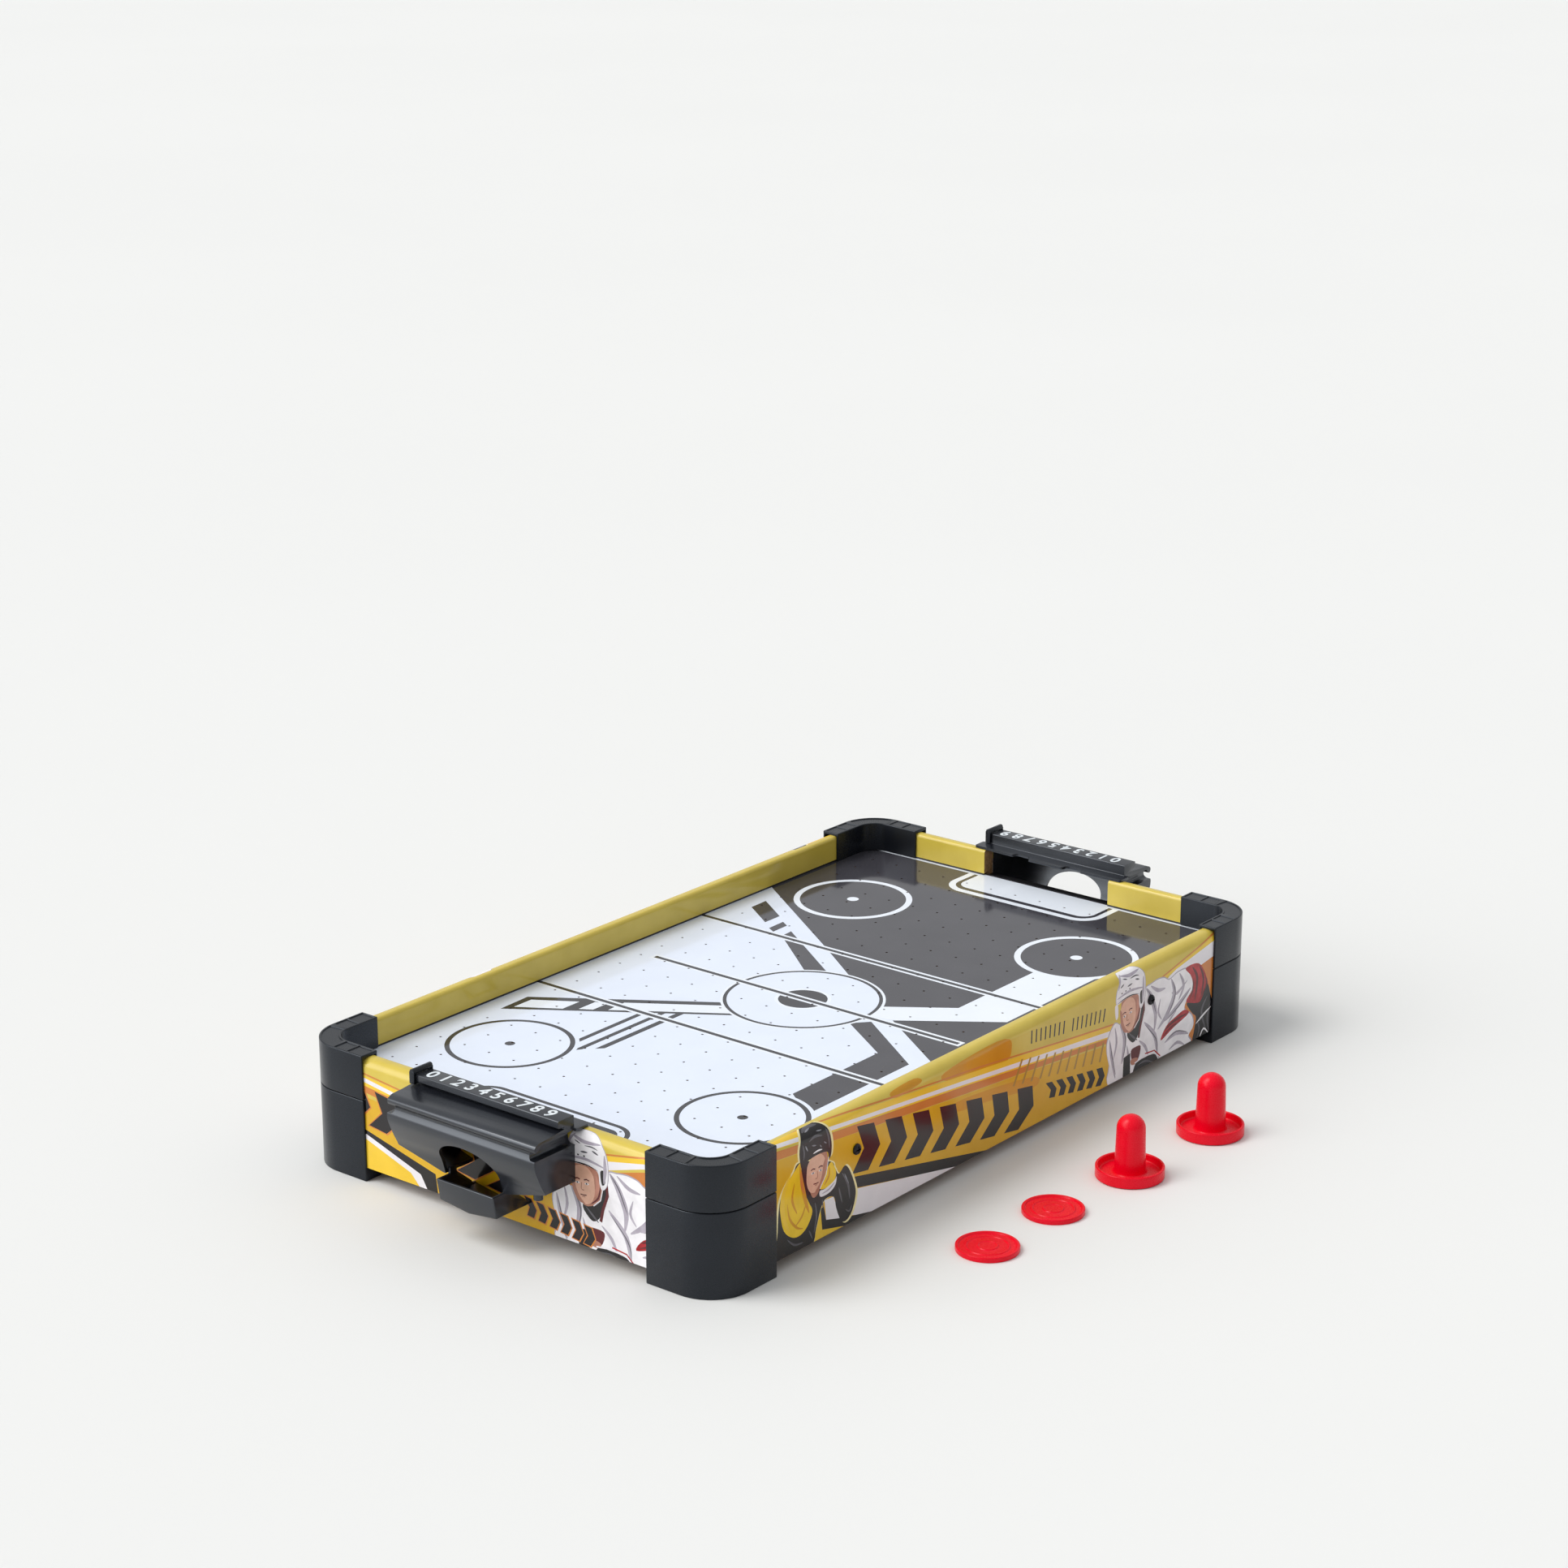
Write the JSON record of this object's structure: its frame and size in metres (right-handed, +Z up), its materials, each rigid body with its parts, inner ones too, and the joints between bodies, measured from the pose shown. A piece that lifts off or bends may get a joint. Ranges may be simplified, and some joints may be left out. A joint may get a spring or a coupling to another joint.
{
  "type": "air hockey table",
  "caption": "Tabletop air hockey game: printed rink in a yellow rail frame with black corner pieces, hooded goals with score bars, loose red strikers and pucks.",
  "frame": {"origin": "on the floor, at the middle of the footprint of the table with its loose pieces beside it", "axes": "+X along the table from the near goal to the far goal, +Y across the table away from the loose pieces, +Z up"},
  "size_m": [0.5736, 0.3926, 0.0833],
  "materials": {
    "black_plastic": "satin black moulded plastic, light haze of scuffs",
    "rail_film_yellow": "fibreboard with a glossy printed film, golden yellow",
    "rail_print_amber": "printed film, soft amber blotches",
    "rail_print_orange": "printed film, orange band",
    "rail_print_white": "printed film, white stripes",
    "rail_print_dark": "printed film, near-black shapes",
    "rail_print_grey": "printed film, dark grey lower band",
    "rail_print_red": "printed film, dark red cloth of the players",
    "rail_print_skin": "printed film, skin of the players",
    "raw_fibreboard": "bare sawn fibreboard edge",
    "field_print_white": "fibreboard with a glossy printed playing face, cool white",
    "field_print_dark": "printed film, dark grey half",
    "field_print_grey": "printed film, darker grey lines",
    "field_print_line_white": "printed film, white lines",
    "score_digit_white": "white pad-printed digits",
    "shadow_black": "dark seams and air-hole walls",
    "base_hardboard": "unfinished hardboard",
    "raw_timber": "planed softwood",
    "screw_black": "black coated screw",
    "fan_grey": "grey moulded plastic",
    "bare_steel": "plain steel",
    "cell_jacket": "printed battery jacket",
    "lead_red": "red insulated lead",
    "lead_black": "black insulated lead",
    "red_plastic": "smooth bright red moulded plastic",
    "dark_felt": "short dark felt"
  },
  "bodies": {
    "table": {"corner_cap_far_left": "black_plastic", "corner_cap_near_left": "black_plastic", "corner_cap_near_right": "black_plastic", "corner_cap_far_right": "black_plastic", "corner_foot_far_left": "black_plastic", "corner_foot_near_left": "black_plastic", "corner_foot_near_right": "black_plastic", "corner_foot_far_right": "black_plastic", "goal_top_far": "black_plastic", "goal_chute_far": "black_plastic", "puck_tray_far": "black_plastic", "goal_screw_far_left": "screw_black", "goal_screw_far_right": "screw_black", "side_screw_left_far": "screw_black", "side_screw_right_far": "screw_black", "cross_beam_far": "raw_timber", "end_board_far": "rail_film_yellow", "goal_top_near": "black_plastic", "goal_chute_near": "black_plastic", "puck_tray_near": "black_plastic", "goal_screw_near_left": "screw_black", "goal_screw_near_right": "screw_black", "side_screw_left_near": "screw_black", "side_screw_right_near": "screw_black", "cross_beam_near": "raw_timber", "end_board_near": "rail_film_yellow", "corner_screw_far_left": "screw_black", "corner_screw_near_left": "screw_black", "corner_screw_near_right": "screw_black", "corner_screw_far_right": "screw_black", "side_board_left": "rail_film_yellow", "side_board_right": "rail_film_yellow", "playing_surface": "field_print_white", "base_panel": "base_hardboard", "fan_housing": "fan_grey", "battery_box": "fan_grey", "fan_grille": "black_plastic", "switch_body": "black_plastic", "fan_motor": "bare_steel", "contact_strip_inner": "bare_steel", "contact_strip_outer": "bare_steel", "battery_cell_1": "cell_jacket", "battery_cell_2": "cell_jacket", "battery_cell_3": "cell_jacket", "battery_cell_4": "cell_jacket", "lead_battery_to_switch": "lead_red", "lead_switch_to_motor": "lead_red", "lead_battery_to_motor": "lead_black"},
    "score_slider_near": {"score_slider_near": "black_plastic"},
    "score_slider_far": {"score_slider_far": "black_plastic"},
    "fan_rotor": {"fan_impeller": "fan_grey", "motor_shaft": "bare_steel"},
    "battery_door": {"battery_door": "black_plastic"},
    "switch_rocker": {"switch_rocker": "red_plastic"},
    "striker_1": {"striker_1": "red_plastic", "striker_felt_1": "dark_felt"},
    "striker_2": {"striker_2": "red_plastic", "striker_felt_2": "dark_felt"},
    "puck_1": {"puck_1": "red_plastic"},
    "puck_2": {"puck_2": "red_plastic"}
  },
  "joints": [
    {"name": "score_slide_near", "type": "slide", "parent": "table", "child": "score_slider_near", "axis": [0, -1, 0], "range_m": [0, 0.1]},
    {"name": "score_slide_far", "type": "slide", "parent": "table", "child": "score_slider_far", "axis": [0, -1, 0], "range_m": [0, 0.1]},
    {"name": "fan_spin", "type": "hinge", "parent": "table", "child": "fan_rotor", "pos_m": [0, 0.046, 0.0233], "axis": [0, 0, 1], "continuous": true},
    {"name": "battery_door_release", "type": "slide", "parent": "table", "child": "battery_door", "axis": [0, 0, -1], "range_m": [0, 0.012]},
    {"name": "switch_rock", "type": "hinge", "parent": "table", "child": "switch_rocker", "pos_m": [0, 0.1915, 0.03], "axis": [0, 0, 1], "range_deg": [0, 16]},
    {"name": "striker_1_lift", "type": "slide", "parent": "table", "child": "striker_1", "axis": [0, 0, 1], "range_m": [0, 0.1]},
    {"name": "striker_2_lift", "type": "slide", "parent": "table", "child": "striker_2", "axis": [0, 0, 1], "range_m": [0, 0.1]},
    {"name": "puck_1_lift", "type": "slide", "parent": "table", "child": "puck_1", "axis": [0, 0, 1], "range_m": [0, 0.1]},
    {"name": "puck_2_lift", "type": "slide", "parent": "table", "child": "puck_2", "axis": [0, 0, 1], "range_m": [0, 0.1]}
  ]
}
